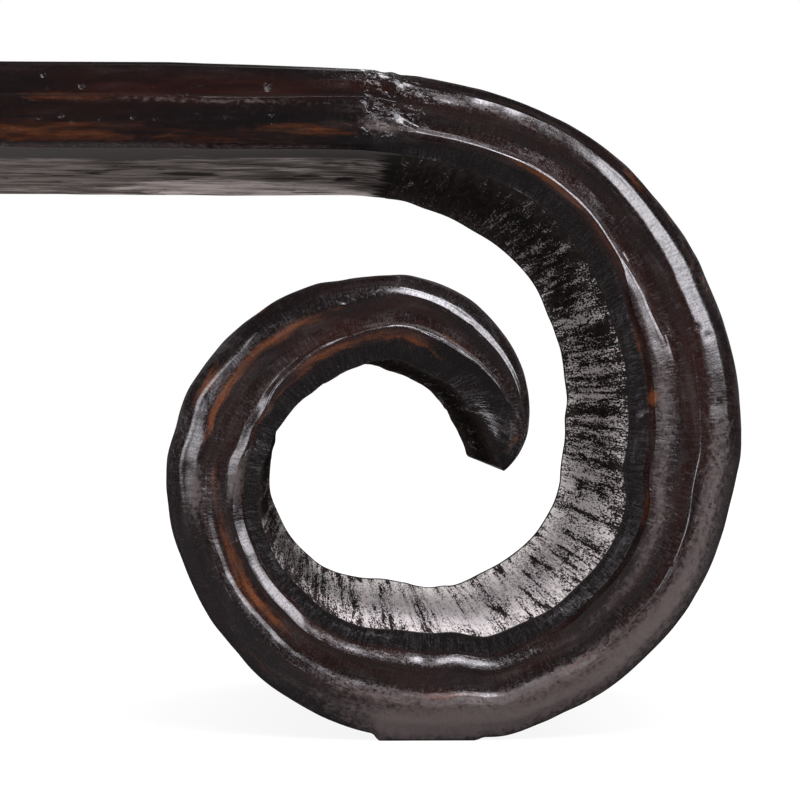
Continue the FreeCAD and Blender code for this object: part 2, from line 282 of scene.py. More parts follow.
# How much of the sawn inner face is worn pale, by the turned angle as a share of a full turn
PALE_BY_TURN = (
    (0, 0.04), (0.055, 0.06), (0.1, 0.17), (0.17, 0.35), (0.25, 0.42), (0.31, 0.53), (0.37, 0.79),
    (0.54, 0.8), (0.57, 0.6), (0.6, 0.52), (0.68, 0.48), (0.74, 0.05),
)


def keyed(keys, at):
    """Smooth values through (place, value) keys.

    Between two keys the value follows a cubic whose slopes are the harmonic mean of the slopes of the
    straight lines on either side, and zero where those differ in sign, so it never overshoots a key.
    """
    place, value = np.array(keys, float).T
    step = np.diff(place)
    rise = np.diff(value) / step
    slope = np.zeros_like(value)
    same = rise[:-1] * rise[1:] > 0
    slope[1:-1][same] = 2 * rise[:-1][same] * rise[1:][same] / (rise[:-1] + rise[1:])[same]
    at = np.clip(at, place[0], place[-1])
    left = np.clip(np.searchsorted(place, at, side="right") - 1, 0, len(step) - 1)
    t = (at - place[left]) / step[left]
    blend = t * t * (3 - 2 * t)
    bulge = step[left] * (slope[left] * t * (1 - t) ** 2 - slope[left + 1] * t * t * (1 - t))
    return value[left] * (1 - blend) + value[left + 1] * blend + bulge


def ease(value, low, high):
    """Smooth step: 0 at low, 1 at high, and 3t^2 - 2t^3 between them. Low may be the greater one."""
    t = np.clip((value - low) / (high - low), 0.0, 1.0)
    return t * t * (3 - 2 * t)


def lumps(seed, along, across):
    """Lumpy heights from 0 to 1: seeded heights at whole numbers, eased between them both ways."""
    heights = np.random.default_rng(seed).random((512, 256))
    i, j = np.floor(along).astype(int), np.floor(across).astype(int)
    u, v = ease(along - i, 0, 1), ease(across - j, 0, 1)

    def corner(a, b):
        return heights[(i + a) % 512, (j + b) % 256]

    near = corner(0, 0) * (1 - u) + corner(1, 0) * u
    far = corner(0, 1) * (1 - u) + corner(1, 1) * u
    return near * (1 - v) + far * v


def outline_shares(angle):
    """Place on the outline as shares of the height: each arc adds its radius times the change in the
    sine of the turned angle along, and times the change in its cosine upwards."""
    x, z, start = np.zeros_like(angle), np.zeros_like(angle), 0.0
    for end, radius in ARC_SHARES:
        a, b = math.radians(start), np.radians(np.clip(angle, start, end))
        x += radius * (np.sin(b) - math.sin(a))
        z += radius * (np.cos(b) - math.cos(a))
        start = end
    return x, z


def path_shares(angle):
    """Length of the outline up to an angle: the sum of each arc's radius times its turn."""
    length, start = np.zeros_like(angle), 0.0
    for end, radius in ARC_SHARES:
        length += radius * np.radians(np.clip(angle, start, end) - start)
        start = end
    return length


class Scroll:
    """Outline of a scroll at the sizes asked for: angle, place, lean and thickness by path length."""

    def __init__(self, shape):
        self.shape = shape
        self.scale = shape.height / -outline_shares(np.array([FLOOR_ANGLE]))[1][0]
        self.start = shape.length / 2 - self.scale * outline_shares(np.array([UPPER_JOINT_ANGLE]))[0][0]
        self.angles = np.linspace(0, TIP_ANGLE, 5001)
        self.lengths = path_shares(self.angles) * self.scale

    def path(self, angle):
        return float(np.interp(angle, self.angles, self.lengths))

    def angle(self, along):
        return np.interp(along, self.lengths, self.angles)

    def place(self, along):
        """Outer point at a path length: level before the scroll starts, then on the arcs, moved
        outwards by the carver's drift along the normal (sine, cosine) of the turned angle."""
        angle = self.angle(along)
        x, z = outline_shares(angle)
        turn = np.radians(angle)
        drift = keyed(OUTLINE_DRIFT, angle) / 1000
        x = self.start + self.scale * x + np.minimum(along, 0) + drift * np.sin(turn)
        return x, self.shape.height + self.scale * z + drift * np.cos(turn)

    def lean(self, along):
        """Direction of a section: upright up to the slab joint, then over until it is square."""
        angle = self.angle(along)
        share = np.clip((angle - SLAB_JOINT_ANGLE) / (SQUARE_ANGLE - SLAB_JOINT_ANGLE), 0, 1)
        return np.radians(np.where(angle < SQUARE_ANGLE, SQUARE_ANGLE * share, angle))

    def thickness(self, along):
        return self.shape.slab_thickness * keyed(THICKNESS_SHARES, self.angle(along))

    def swell(self, along, ys):
        """Extra thickness behind the front face: it grows evenly from there to the rear face."""
        behind = np.clip(ys / self.shape.depth + 0.5, 0, 1)
        return keyed(REAR_SWELL, self.angle(along))[:, None] / 1000 * behind


def scroll_keys(along):
    """Keys of the scroll's moulding at every section: each table gives way to the next by a smooth
    step between the places where they hold."""
    places = np.array([place for place, _ in SCROLL_MOULDINGS])
    tables = np.array([table for _, table in SCROLL_MOULDINGS])
    left = np.clip(np.searchsorted(places, along, side="right") - 1, 0, len(places) - 2)
    blend = ease(along, places[left], places[left + 1])[:, None, None]
    return tables[left] * (1 - blend) + tables[left + 1] * blend


def moulding(along, stroke, scroll):
    """Place and depth of the moulding, for strokes from 0 at the outer edge to 1 at the inner edge.

    The moulding is cut in facets between its keys: each is a mix of a straight line and a smooth step,
    so that it rolls over a little at its edges. The shares are stretched evenly on both sides of one
    line, so that it lies where its path runs. The slab's facets give way to the scroll's across the
    slab joint by a smooth step, and the depth falls with the square of the thickness towards the tip.
    """
    facets = len(FACET_ROLL)
    key = np.minimum((stroke * facets).astype(int), facets - 1)
    part = (stroke * facets - key)[None]
    roll = np.array(FACET_ROLL)[key]
    bent = part * (1 - roll) + roll * part * part * (3 - 2 * part)

    def cut(keys, line, path):
        share = keys[:, 0, key] * (1 - part) + keys[:, 0, key + 1] * part
        depth = keys[:, 1, key] * (1 - bent) + keys[:, 1, key + 1] * bent
        at = keyed(path, along)[:, None]
        beyond = 1 - (1 - share) * (1 - at) / (1 - line)
        return np.where(share < line, share * at / line, beyond), depth

    slab_share, slab_depth = cut(np.array([SLAB_MOULDING]), FILLET_SHARE, FILLET_PATH)
    scroll_share, scroll_depth = cut(scroll_keys(along), BEAD_SHARE, BEAD_PATH)
    blend = ease(along, *MOULDING_CHANGE)[:, None]
    share = slab_share * (1 - blend) + scroll_share * blend
    depth = slab_depth * (1 - blend) + scroll_depth * blend
    thin = scroll.thickness(np.maximum(along, 0)) / (FULL_DEPTH_SHARE * scroll.shape.slab_thickness)
    return share, depth * scroll.shape.moulding_depth * np.clip(thin * thin, 0.2, 1)[:, None]


def moved_out(points, height):
    """Points of a closed tube moved away from the wood, along the cross product of the steps along and
    round it."""
    cross = np.cross(np.gradient(points, axis=0), np.roll(points, -1, 1) - np.roll(points, 1, 1))
    direction = cross / np.maximum(np.linalg.norm(cross, axis=2, keepdims=True), 1e-12)
    if np.einsum("ijk,ijk->", direction, points - points.mean(1, keepdims=True)) < 0:
        direction = -direction
    return points + direction * height[..., None]


def shell(name, points, body, material, values):
    """Closed mesh of a tube of points: quads between its rows, and a fan about the middle of each end.
    Faces are turned round when the volume, the sum of their tetrahedra to the origin, is negative."""
    rows, columns = points.shape[:2]
    grid = np.arange(rows * columns).reshape(rows, columns)
    turned = np.roll(grid, -1, 1)
    quads = np.stack([grid[:-1], turned[:-1], turned[1:], grid[1:]], -1).reshape(-1, 4)
    first = np.full(columns, rows * columns)
    fans = (turned[0], grid[0], first), (grid[-1], turned[-1], first + 1)
    ends = np.concatenate([np.stack(fan, -1) for fan in fans])
    vertices = np.concatenate([points.reshape(-1, 3), points[[0, -1]].mean(1)])
    corner = vertices[quads]
    if np.einsum("ij,ij->i", corner[:, 0], np.cross(corner[:, 1], corner[:, 2])).sum() < 0:
        quads, ends = quads[:, ::-1], ends[:, ::-1]
    mesh = bpy.data.meshes.new(name)
    mesh.from_pydata(vertices.tolist(), [], quads.tolist() + ends.tolist())
    for key, value in values.items():
        value = np.concatenate([value.reshape(rows * columns, -1), value[[0, -1], 0].reshape(2, -1)])
        kind, field = ("FLOAT_VECTOR", "vector") if value.shape[1] == 3 else ("FLOAT", "value")
        layer = mesh.attributes.new(key, kind, "POINT")
        layer.data.foreach_set(field, value.astype(np.float32).ravel())
    mesh.shade_smooth()
    mesh.set_sharp_from_angle(angle=math.radians(SMOOTH_ANGLE))
    mesh.materials.append(material)
    piece = bpy.data.objects.new(name, mesh)
    bpy.context.scene.collection.objects.link(piece)
    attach(piece, body)
    return piece


def carved_piece(name, ending, points, material, values):
    """Shell inside the joinery model's box, in place of the node of that name."""
    points = np.clip(points, np.array(cad_low), np.array(cad_high))
    piece = shell(name, points, "root", material, values)
    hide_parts(name)
    piece.name = name + ending
    return piece


def patch_sum(patches, along, share):
    """Sum of soft ovals: each is its strength times exp(-(distance in half sizes)^2)."""
    total = np.zeros_like(share)
    for middle, height, half_length, half_height, strength in patches:
        reach = ((along - middle) / half_length) ** 2 + ((share - height) / half_height) ** 2
        total += strength * np.exp(-reach)
    return total


def scar_heights(scars, along, inward):
    """Sum of dents and drops, longer than wide: height times exp(-(distance in radii)^2)."""
    total = np.zeros_like(inward)
    for middle, share, radius, height in scars:
        across = (inward - share * SCAR_WIDTH) / radius
        total += height * np.exp(-(((along - middle) / (1.6 * radius)) ** 2 + across**2))
    return total


def scattered(random, count, *ranges):
    """Even random draws, one row for each range."""
    return [random.uniform(low, high, count) for low, high in ranges]


def scattered_patches(seed, count):
    """Seeded patches like the ones on the front of the right-hand end, for the faces out of sight."""
    random = np.random.default_rng(seed)
    (middle,) = scattered(random, count, OUT_OF_SIGHT)
    height = random.choice([0.12, 0.34, 0.42, 0.72, 0.82], count) + random.normal(0, 0.03, count)
    sizes = scattered(random, count, (0.012, 0.045), (0.03, 0.08), (0.4, 1))
    return np.stack([middle, height, *sizes], -1)


def scattered_hollows(seed, count):
    """Seeded dark hollows for the underside that is out of sight."""
    random = np.random.default_rng(seed)
    middle, place, half = scattered(random, count, (-0.9, 0.1), (-0.06, 0.16), (0.010, 0.035))
    return np.stack([middle, place, half, 0.3 * half, np.ones(count)], -1)


def scattered_scars(seed, count):
    """Seeded dents for the faces out of sight."""
    random = np.random.default_rng(seed)
    middle, height, radius = scattered(random, count, OUT_OF_SIGHT, (0.1, 0.8), (0.0015, 0.004))
    return np.stack([middle, height, radius, -0.3 * radius], -1)


def face_values(along, shares, ys, end):
    """Rubbed patches, patches of dust and painted sheen, and scars: the known ones on the right-hand
    front, and seeded ones on the other faces. The underside has its hollows in place of rubbed patches."""
    values = np.zeros((3, *shares.shape))
    for side in (-1, 1):
        if end > 0 and side < 0:
            rubbed, dusty, scars = RUBBED_PATCHES, DUST_AND_SHEEN_PATCHES, SCARS
        else:
            seed = 100 + 10 * end + side
            rubbed, dusty = scattered_patches(seed, 44), scattered_patches(seed + 2, 16)
            scars = scattered_scars(seed + 1, 40)
        sums = [patch_sum(patches, along, shares) for patches in (rubbed, dusty)]
        here = [*sums, scar_heights(scars, along, shares * SCAR_WIDTH)]
        values = np.where(side * ys > 0, here, values)
    inner = shares > 1 - EDGE
    values = np.where(inner | (shares < EDGE), 0.0, values)
    hollows = HOLLOWS if end > 0 else scattered_hollows(7, 14)
    values[0] = np.where(inner, patch_sum(hollows, along, ys), values[0])
    return values


def ring(along, scroll, carving, front_y=None, rear_y=None):
    """Share of the thickness, cross position and stroke round every section.

    The front and rear follow the moulding, or are straight planes where a y is given. The faces
    between them run straight from one to the other.
    """
    strokes = np.linspace(0, 1, carving.face_columns)
    across = np.linspace(0, 1, carving.across_columns)[1:-1]
    share, depth = moulding(along, strokes, scroll)
    half = scroll.shape.depth / 2

    def side(plane_y, carved_y):
        even = np.broadcast_to(strokes, share.shape)
        return (share, carved_y) if plane_y is None else (even, np.full(share.shape, plane_y))

    front_share, front = side(front_y, depth - half)
    rear_share, rear = side(rear_y, half - depth)
    under = front[:, -1:] + (rear[:, -1:] - front[:, -1:]) * across
    over = rear[:, :1] + (front[:, :1] - rear[:, :1]) * across
    ones = np.ones_like(under)
    shares = np.concatenate([front_share, ones, rear_share[:, ::-1], 0 * ones], 1)
    ys = np.concatenate([front, under, rear[:, ::-1], over], 1)
    round_it = np.concatenate([strokes, ones[0], strokes[::-1], 0 * ones[0]])
    return shares, ys, np.broadcast_to(round_it, shares.shape)


def cut_marks(seed, along, inward, ys, lengths):
    """Lumpy heights of the strokes of a chisel, unlike at the front and at the rear."""
    return lumps(seed, along / lengths[0], inward / lengths[1] + np.where(ys < 0, 0, 40))


def joint_damage(along, inward, ys, seed):
    """Lumps of old glue and lacquer where the slab meets the scroll: lumpy heights in a soft window,
    which dies away on the top behind the front and rear edges."""
    window = np.exp(-(((along - SLAB_JOINT) / 0.012) ** 2)) * ease(inward, 0.036, 0.028)
    window = window * (0.15 + 0.85 * ease(np.abs(ys), 0.150, 0.168))
    return LUMP_HEIGHT * window * (cut_marks(seed + 6, along, inward, ys, (0.0048, 0.0042)) - 0.5)


def saw_ridges(along, ys, seed):
    """Ridges across the table with narrow grooves between them, which wander slowly as a hand saw's do:
    the distance of a lumpy height from its middle value, in a coarse size and a fine one."""
    wander = along + 0.004 * lumps(seed + 2, along / 0.05, ys / 0.25)
    coarse = np.abs(2 * lumps(seed + 3, wander / 0.0052, ys / 0.30) - 1) ** 0.7
    fine = np.abs(2 * lumps(seed + 4, wander / 0.0027, ys / 0.10) - 1) ** 0.7
    return 0.6 * coarse + 0.4 * fine


def arris(along, first, last, size):
    """Depth of a joint's fine groove: it falls away from both ends as exp(-distance / 0.6 mm)."""
    return size * (np.exp(-(along - first) / 0.0006) + np.exp(-(last - along) / 0.0006))


def spaced(first, last, step):
    """Even rows between two path lengths, and closer ones beside both ends."""
    rows = np.linspace(first, last, max(4, round((last - first) / step)) + 1)
    close = np.array(JOINT_ROWS)
    return np.unique(np.concatenate([rows, first + close, last - close]))


def scroll_block(part, end, angles, scroll, carving, material):
    """Block of a scroll between two angles.

    A point is the outline's outer point, moved inwards by its share of the thickness along the
    section's lean, with its cross position from the moulding. Long shallow facets and short ripples
    are cut into the lacquered faces, and saw ridges into the inner face. The tip is rounded by a
    quarter circle. End is 1 for the right and -1 for the left.
    """
    first, last = scroll.path(angles[0]), scroll.path(angles[1])
    along = spaced(first, last, carving.row_spacing)
    shares, ys, strokes = ring(along, scroll, carving)
    nose = np.clip((last - along[:, None]) / carving.nose_length, 0, 1) if angles[1] == TIP_ANGLE else 1
    blunt = (1 - nose) ** 2
    thick = scroll.thickness(along)[:, None] * (0.10 + 0.90 * np.sqrt(1 - blunt))
    ys = ys * (1 - 0.03 * blunt)
    x, z = scroll.place(along)
    turn = scroll.lean(along)[:, None]
    inward = shares * (thick + scroll.swell(along, ys))
    points = np.stack([x[:, None] - inward * np.sin(turn), ys, z[:, None] - inward * np.cos(turn)], -1)
    rows = np.broadcast_to(along[:, None], shares.shape)
    rubbed, dusty, scars = face_values(rows, shares, ys, end)
    seed = SEEDS[end]
    even_inward = shares * CARVED_WIDTH
    facets = cut_marks(seed, rows, even_inward, ys, (0.034, 0.011)) - 0.7
    ripples = cut_marks(seed + 1, rows, even_inward, ys, (0.009, 0.006)) - 0.5
    height = carving.facet_depth * facets + carving.ripple_depth * ripples
    height = height + joint_damage(rows, even_inward, ys, seed)
    saw = saw_ridges(rows, ys, seed)
    under = shares > 1 - EDGE
    height = np.where(under, carving.ridge_depth * (saw - 0.8) * ease(np.abs(ys), 0.166, 0.158), height)
    height = height + scars - arris(rows, first, last, carving.joint_groove)
    points = stood_on_floor(moved_out(points, height), shares, scroll)
    points[..., 0] *= end
    values = {
        "board": np.stack([rows, ys + LEFT_BOARD_SHIFT * (end < 0), inward], -1),
        "under": under,
        "rubbed": rubbed,
        "dusty": dusty,
        "stroke": strokes,
        "saw": saw,
        "turned": np.broadcast_to(scroll.angle(along)[:, None] / 360, shares.shape),
    }
    name = ("right_" if end > 0 else "left_") + part
    return carved_piece(name, "_carved", points, material, values)


def stood_on_floor(points, shares, scroll):
    """Flat sole: between its two ends the outer side is let down to the floor, easing off inwards."""
    middle, _ = scroll.place(np.array([scroll.path(FLOOR_ANGLE)]))
    beside = points[..., 0] - middle[0]
    window = ease(beside, *SOLE_INNER) * ease(beside, *SOLE_OUTER) * (1 - ease(shares, 0.02, 0.2))
    window = window * (points[..., 2] < SOLE_BELOW)
    points[..., 2] -= window * np.maximum(points[:, :1, 2], 0)
    return points


def plank(name, front_y, rear_y, scroll, carving, material):
    """Plank of the top between the two slab joints.

    Its top is level, and near each end it follows the outline's first arc down by the same law as the
    scroll. The path length is the distance from where the outline starts to fall, below zero before it.
    """
    close = scroll.start - CLOSE_ROWS
    middle = spaced(-scroll.start, close, carving.plank_spacing)
    near = spaced(close, scroll.start + scroll.path(SLAB_JOINT_ANGLE), carving.row_spacing)
    x = np.unique(np.concatenate([-near[::-1], middle, near]))
    x = x[np.abs(x) <= near[-1]]
    along = np.abs(x) - scroll.start
    falling = np.maximum(along, 0)
    shares, ys, strokes = ring(along, scroll, carving, front_y, rear_y)
    inward = shares * (scroll.thickness(falling)[:, None] + scroll.swell(falling, ys))
    across_x, rows = [np.broadcast_to(value[:, None], shares.shape) for value in (x, along)]
    points = np.stack([across_x, ys, scroll.place(falling)[1][:, None] - inward], -1)
    side = ease(across_x, -0.05, 0.05)
    left, right = [face_values(rows, shares, ys, end) for end in (-1, 1)]
    rubbed, dusty, scars = left * (1 - side) + right * side
    seed = SEEDS[1]
    board = across_x - scroll.start
    facets = cut_marks(seed, board, inward, ys, (0.060, 0.011)) - 0.7
    height = 0.25 * carving.facet_depth * facets + scars
    height = height + joint_damage(rows, inward, ys, seed)
    under = shares > 1 - EDGE
    over_battens = ease(np.abs(across_x), *BATTEN_REACH)
    rough = 0.0003 * (lumps(5, board / 0.09, ys / 0.012) - 1)
    height = np.where(under, rough - BATTEN_SETBACK * over_battens, height)
    joint_y = rear_y if front_y is None else front_y
    height = np.where(np.abs(ys - joint_y) < 1e-6, -0.0001, height)
    height = height - arris(across_x, x[0], x[-1], carving.joint_groove)
    values = {
        "board": np.stack([board, ys, inward], -1),
        "under": under,
        "rubbed": rubbed,
        "dusty": dusty,
        "stroke": strokes,
        "end": rows,
    }
    return carved_piece(name, "_planed", moved_out(points, height), material, values)


class Wire:
    """Output socket of a node. Arithmetic on it adds Math nodes."""

    def __init__(self, finish, socket):
        self.finish = finish
        self.socket = socket

    def __add__(self, other):
        return self.finish.maths("ADD", self, other)

    def __sub__(self, other):
        return self.finish.maths("SUBTRACT", self, other)

    def __rsub__(self, other):
        return self.finish.maths("SUBTRACT", other, self)

    def __mul__(self, other):
        return self.finish.maths("MULTIPLY", self, other)

    __radd__, __rmul__ = __add__, __mul__


class Finish:
    """Material, lamp or world made of nodes."""

    def __init__(self, owner):
        owner.use_nodes = True
        self.owner = owner
        self.tree = owner.node_tree
        self.tree.nodes.clear()

    def node(self, kind, inputs, output=0, **settings):
        """One node: its settings first, with a ramp's stops among them, then its sockets."""
        node = self.tree.nodes.new("ShaderNode" + kind)
        for key, value in settings.items():
            if key == "stops":
                elements = node.color_ramp.elements
                for position, _ in value[len(elements):]:
                    elements.new(position)
                for element, (position, colour) in zip(elements, value):
                    element.position = position
                    element.color = (*colour, 1)
            else:
                setattr(node, key, value)
        for key, value in inputs.items():
            if isinstance(value, Wire):
                self.tree.links.new(value.socket, node.inputs[key])
            else:
                if node.inputs[key].type == "RGBA":
                    value = (*value[:3], 1)
                node.inputs[key].default_value = value
        return Wire(self, node.outputs[output]) if node.outputs else None

    def maths(self, operation, *values):
        return self.node("Math", dict(enumerate(values)), operation=operation)

    def attribute(self, name, output="Fac"):
        return self.node("Attribute", {}, output, attribute_name=name)

    def ray(self, kind):
        """1 for rays of one kind, and 0 for others."""
        return self.node("LightPath", {}, f"Is {kind} Ray")

    def stretched(self, vector, factors):
        return self.node("VectorMath", {0: vector, 1: factors}, operation="MULTIPLY")

    def noise(self, vector, factors, detail, roughness):
        """Noise that repeats so many times per metre in each direction."""
        place = self.stretched(vector, factors)
        sockets = {"Vector": place, "Scale": 1.0, "Detail": detail, "Roughness": roughness}
        return self.node("TexNoise", sockets)

    def step(self, value, low, high):
        sockets = {"Value": value, "From Min": low, "From Max": high}
        return self.node("MapRange", sockets, interpolation_type="SMOOTHSTEP")

    def blend(self, factor, a, b):
        """Mix of two colours."""
        return self.node("Mix", {0: factor, 6: a, 7: b}, 2, data_type="RGBA")

    def part(self, vector, axis):
        return self.node("SeparateXYZ", {0: vector}, axis)

    def principled(self, colour, roughness, height, more):
        """Surface with relief from a height in metres."""
        bump = self.node("Bump", {"Height": height, "Strength": 1.0, "Distance": 1.0})
        sockets = {"Base Color": colour, "Roughness": roughness, "Normal": bump, **more}
        return self.node("BsdfPrincipled", sockets)

    def over_wood(self, lacquered, bare, height):
        """Lacquered surface, and matt bare wood on the inner face."""
        wood = self.principled(bare, 0.85, height, {"Specular IOR Level": 0.0})
        inner = self.step(self.attribute("under"), 0.85, 0.98)
        self.surface(self.node("MixShader", {0: inner, 1: lacquered, 2: wood}))

    def surface(self, shader, kind="OutputMaterial"):
        self.node(kind, {"Surface": shader})


def old_lacquer(finish, board, lacquer, redness, age, rough, relief):
    """Surface of old lacquer under a clear coat, with more relief added to its own.

    It is near black, redder where it is thin, rubbed through to amber and scuffed grey in patches. The
    grey of the scuffs and of the film is partly real dust and bloom and partly painted sheen, standing
    in for the dim reflection of the lamps and the floor. Fine lines run along the board, and tool marks
    across. The outer face is dull, and so is the inner part of the front near the tip. Age is how much
    grey film and how many dimples it has.
    """
    noise, step, blend = finish.noise, finish.step, finish.blend
    along = finish.part(board, 0)
    stroke = finish.attribute("stroke")
    cloud = noise(board, (11, 60, 75), 4, 0.6)
    streak = noise(board, (22, 260, 620), 3, 0.6)
    grain = noise(board, (300, 420, 900), 3, 0.6)
    outer = 1 - step(stroke, 0, 0.03)
    age = age + outer * (1 - age)
    tip = step(along, 1.03, 1.07)
    clean = 1 - step(stroke + tip * 0.17 + (streak - 0.5) * 0.1, 0.86, 0.93) * age
    thin = step(cloud * 0.8 + streak * 0.2 + redness, 0.30, 0.76)
    thin = thin * (0.3 + 0.7 * step(stroke, 0.10, 0.22)) * (0.1 + 0.9 * clean)
    colour = blend(thin, lacquer.dark, lacquer.red)
    patchy = noise(board, (60, 170, 330), 4, 0.65)
    handled = step(noise(board, (5, 8, 8), 5, 0.62) + (streak - 0.5) * 0.4, 0.50, 0.72)
    rubbed = finish.attribute("rubbed") + outer * handled * 0.75
    worn = step(rubbed + (patchy - 0.5) * 1.8 + (grain - 0.5) * 0.5, 0.25, 1.15)
    bared = worn * (0.18 + 0.67 * age) * (0.35 + 0.65 * step(streak, 0.35, 0.60))
    colour = blend(bared, colour, lacquer.amber)
    ragged = noise(board, (330, 420, 420), 4, 0.7)
    # Scuffed patches and painted sheen: where this mask is high the lacquer turns grey, rougher and
    # less coated. The grey is partly real scuffing and partly painted sheen for the dim reflection of
    # the lamps and the floor.
    dusty = finish.attribute("dusty") + (ragged - 0.5) * 1.9 + (grain - 0.5) * 1.2
    scuff_and_sheen = step(dusty, 0.20, 1.25) * clean
    colour = blend(scuff_and_sheen * 0.7, colour, lacquer.dust)
    # Grey film over the lacquer: partly real bloom and partly painted sheen for the dim reflection of
    # the lamps.
    film_and_sheen = step(noise(board, (26, 120, 150), 4, 0.65), 0.46, 0.72) * clean
    colour = blend(film_and_sheen * (0.14 + 0.14 * outer) * age, colour, lacquer.dust)
    hatch = noise(board, (640, 150, 130), 1, 0.5)
    pit = noise(board, (950, 1000, 1000), 2, 0.6)
    dimple = noise(board, (170, 200, 200), 2, 0.55)
    mottle = noise(board, (90, 160, 160), 3, 0.5)
    pores = step(pit * 0.6 + hatch * 0.4, 0.42, 0.62) * age
    roughness = rough + 0.12 * mottle + 0.20 * pores + 0.10 * worn + 0.26 * scuff_and_sheen
    roughness = roughness + 0.06 * film_and_sheen + 0.30 * outer + 0.04 * (1 - clean)
    height = (hatch * 0.00016 + dimple * 0.00045 + pit * 0.00010) * age + streak * 0.00006
    coat = (1 - 0.4 * pores - 0.55 * scuff_and_sheen) * (1 - 0.95 * outer) * (0.15 + 0.85 * clean)
    coat = coat * (1 - 0.9 * step(along, 1.075, 1.100) * step(stroke, 0.38, 0.48))
    clear = {"Coat Weight": coat, "Coat IOR": 1.6, "Coat Roughness": lacquer.coat_roughness}
    return finish.principled(colour, roughness, height + relief, clear)


def from_middle(finish, board):
    """Distance behind the middle of the table, without the left end's shift."""
    half = LEFT_BOARD_SHIFT / 2
    return finish.maths("WRAP", finish.part(board, 1), half, -half)


def glue_lumps(finish, board, along):
    """Height of the torn drops of glue and lacquer at a slab joint."""
    window = finish.step(along, 0.096, 0.108) * (1 - finish.step(along, 0.124, 0.140))
    beside = finish.maths("ABSOLUTE", from_middle(finish, board))
    window = window * finish.step(beside, 0.145, 0.166)
    above = 1 - finish.step(finish.part(board, 2), 0.030, 0.037)
    drops = finish.noise(board, (170, 170, 210), 2, 0.55)
    return finish.step(drops, 0.44, 0.62) * window * above * DROP_HEIGHT


def slab_dents(finish, board):
    """Height of the small dents of the slab: each falls by a smooth step inside its own ragged oval."""
    depth = 0.0
    crumbled = (finish.noise(board, (900, 900, 900), 1, 0.5) - 0.5) * 0.7
    for along, share, length, height in SLAB_DENTS:
        near = finish.stretched(board, (1000 / length, 0, 1000 / height))
        middle = (1000 * along / length, 0, DENTED_WIDTH * share / height)
        reach = finish.node("VectorMath", {0: near, 1: middle}, "Value", operation="DISTANCE")
        depth = depth + (1 - finish.step(reach + crumbled, 0, 1))
    return depth * -DENT_DEPTH


def scroll_finish(lacquer, wood):
    """Lacquered scroll whose inner face was left from the saw: stained nearly black under the top, and
    worn pale where the scroll turns up. The pale wood stands on the ridges."""
    finish = Finish(bpy.data.materials.new("old_lacquer_and_sawn_wood"))
    noise, step, blend = finish.noise, finish.step, finish.blend
    board = finish.attribute("board", "Vector")
    relief = glue_lumps(finish, board, finish.part(board, 0))
    lacquered = old_lacquer(finish, board, lacquer, 0.03, 1.0, 0.10, relief)
    across = from_middle(finish, board)
    turned = finish.attribute("turned")
    saw = finish.attribute("saw")
    torn = noise(board, (900, 100, 900), 3, 0.7)
    dash = noise(board, (760, 16, 760), 2, 0.6)
    blotch = noise(board, (75, 6, 75), 3, 0.6)
    fibre = noise(board, (300, 30, 300), 3, 0.6)
    stops = [(place, (pale,) * 3) for place, pale in PALE_BY_TURN]
    pale = finish.part(finish.node("ValToRGB", {0: turned}, stops=stops), 0)
    lit = pale + (saw - 0.55) * 0.80 + (dash - 0.5) * 1.2 + (torn - 0.5) * 2.7 + (blotch - 0.5) * 1.2
    groove = (1 - step(saw, 0, 0.30)) * step(turned, 0.25, 0.40)
    open_wood = step(lit + across * 0.35 - groove * 0.7, 0.47, 0.53)
    stain = blend(step(fibre, 0.4, 0.65), wood.stain, wood.stain_brown)
    speck = step(torn + (saw - 0.5) * 0.35 + (fibre - 0.5) * 0.5, 0.38, 0.60)
    worn = blend(speck, wood.worn_shade, wood.worn)
    strength = 0.35 + 0.65 * step(turned, 0.06, 0.20) - 0.5 * step(turned, 0.58, 0.66)
    bare = blend(open_wood * strength, stain, worn)
    ragged = finish.maths("ABSOLUTE", across) + (torn - 0.5) * 0.010
    bare = blend(step(ragged, 0.1600, 0.1640), bare, wood.stain)
    finish.over_wood(lacquered, bare, (torn + dash) * 0.0008)
    return finish.owner


